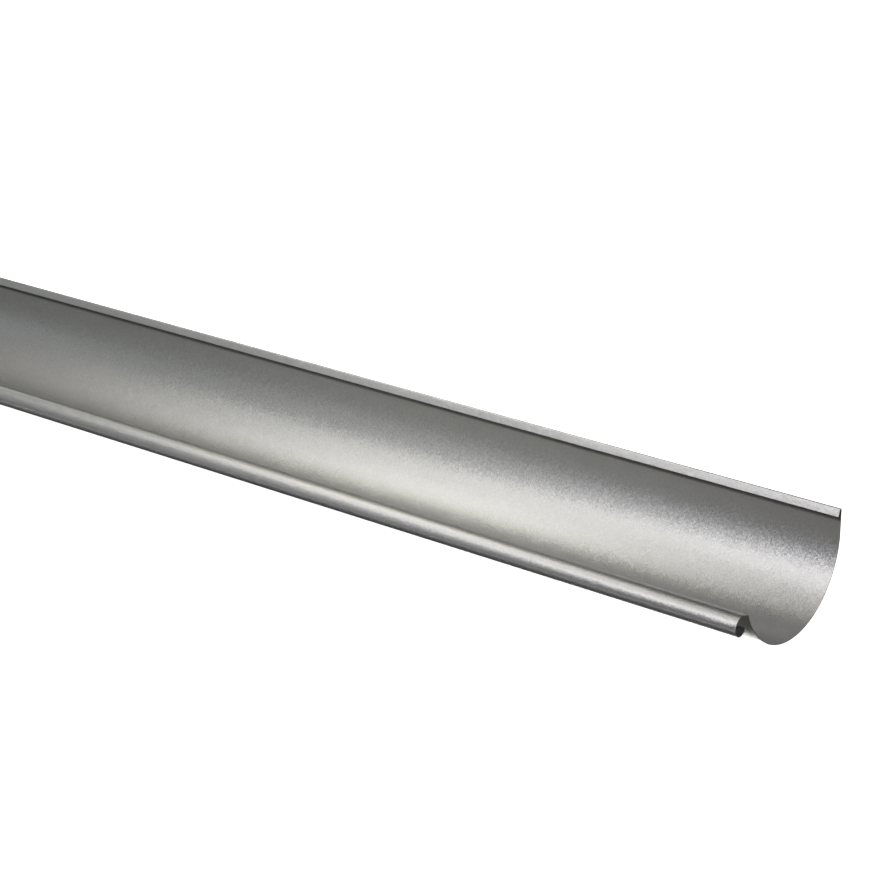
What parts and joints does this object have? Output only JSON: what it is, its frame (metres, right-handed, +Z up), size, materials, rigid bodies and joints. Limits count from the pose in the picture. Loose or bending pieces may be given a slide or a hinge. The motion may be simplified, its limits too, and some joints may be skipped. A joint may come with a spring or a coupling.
{
  "type": "gutter section",
  "caption": "Round-bottomed steel rain gutter length with a high back wall, a folded rear flange and a low front rim rolled into an open bead.",
  "frame": {"origin": "centre of the outline on the floor: midway along the length, midway across the overall width, at the lowest line of the round bottom", "axes": "+X along the gutter, -Y to the front with the bead, +Y to the high back wall, +Z up. It lies in balance on its round bottom, which leans the back wall back 3 degrees from plumb"},
  "size_m": [2, 0.1271, 0.0719],
  "materials": {
    "coated_steel": "satin"
  },
  "bodies": {
    "root": {"gutter": "coated_steel"}
  },
  "joints": []
}
